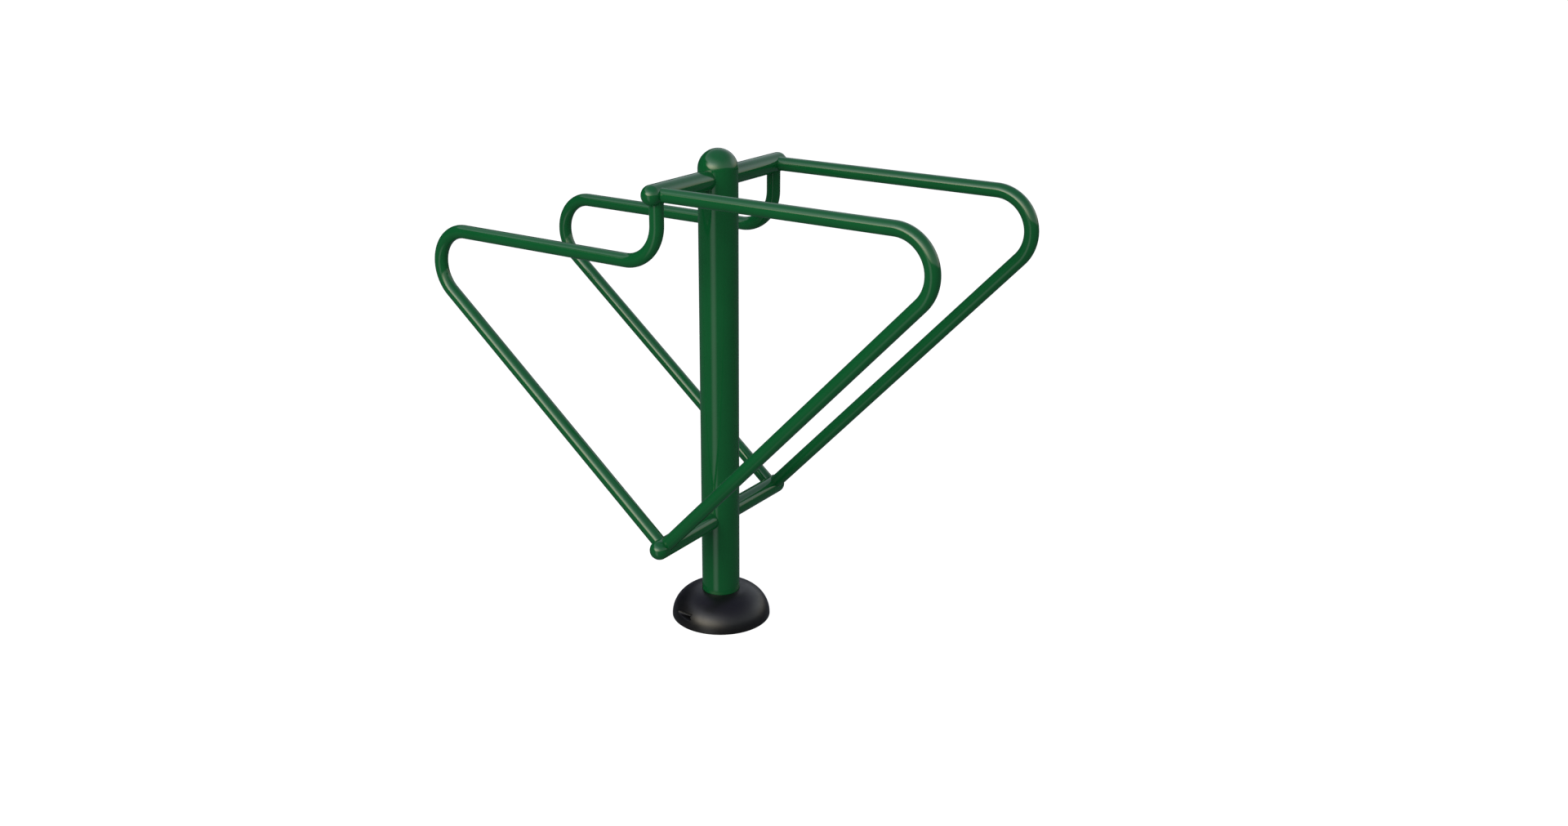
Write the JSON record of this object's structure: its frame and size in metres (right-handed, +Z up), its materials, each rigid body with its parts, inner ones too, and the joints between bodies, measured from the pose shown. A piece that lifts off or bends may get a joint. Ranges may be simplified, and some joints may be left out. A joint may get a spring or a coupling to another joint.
{
  "type": "push-up and dip station",
  "caption": "Outdoor push-up and dip station: one post on a flange, cross arms, bent tube bars on two sides at two heights, and a domed cover round the foot.",
  "frame": {"origin": "on the ground, on the post's axis: the middle of the flange's underside", "axes": "+Z up along the post, +Y from the post towards the push-up bars (the dip bars reach towards -Y), +X along the arms to the right of a person who stands between the dip bars and looks at the post"},
  "size_m": [0.657, 1.6839, 1.4315],
  "materials": {
    "green_powder_coat": "gloss",
    "cover_plastic": "satin",
    "screw_steel": "satin",
    "insert_brass": "satin"
  },
  "bodies": {
    "station_frame": {"post_tube": "green_powder_coat", "post_dome_cap": "green_powder_coat", "upper_arm_left": "green_powder_coat", "upper_arm_cap_left": "green_powder_coat", "upper_arm_right": "green_powder_coat", "upper_arm_cap_right": "green_powder_coat", "lower_arm_left": "green_powder_coat", "lower_arm_cap_left": "green_powder_coat", "lower_arm_right": "green_powder_coat", "lower_arm_cap_right": "green_powder_coat", "dip_bar_left": "green_powder_coat", "push_up_bar_left": "green_powder_coat", "dip_bar_right": "green_powder_coat", "push_up_bar_right": "green_powder_coat", "base_flange": "green_powder_coat", "gusset_1": "green_powder_coat", "gusset_2": "green_powder_coat", "gusset_3": "green_powder_coat", "gusset_4": "green_powder_coat"},
    "base_cover": {"cover_half_front": "cover_plastic", "cover_half_rear": "cover_plastic", "cover_screws": "screw_steel", "cover_inserts": "insert_brass"}
  },
  "joints": [
    {"name": "base_cover_lift", "type": "slide", "parent": "station_frame", "child": "base_cover", "axis": [0, 0, 1], "range_m": [0, 0.2]}
  ]
}
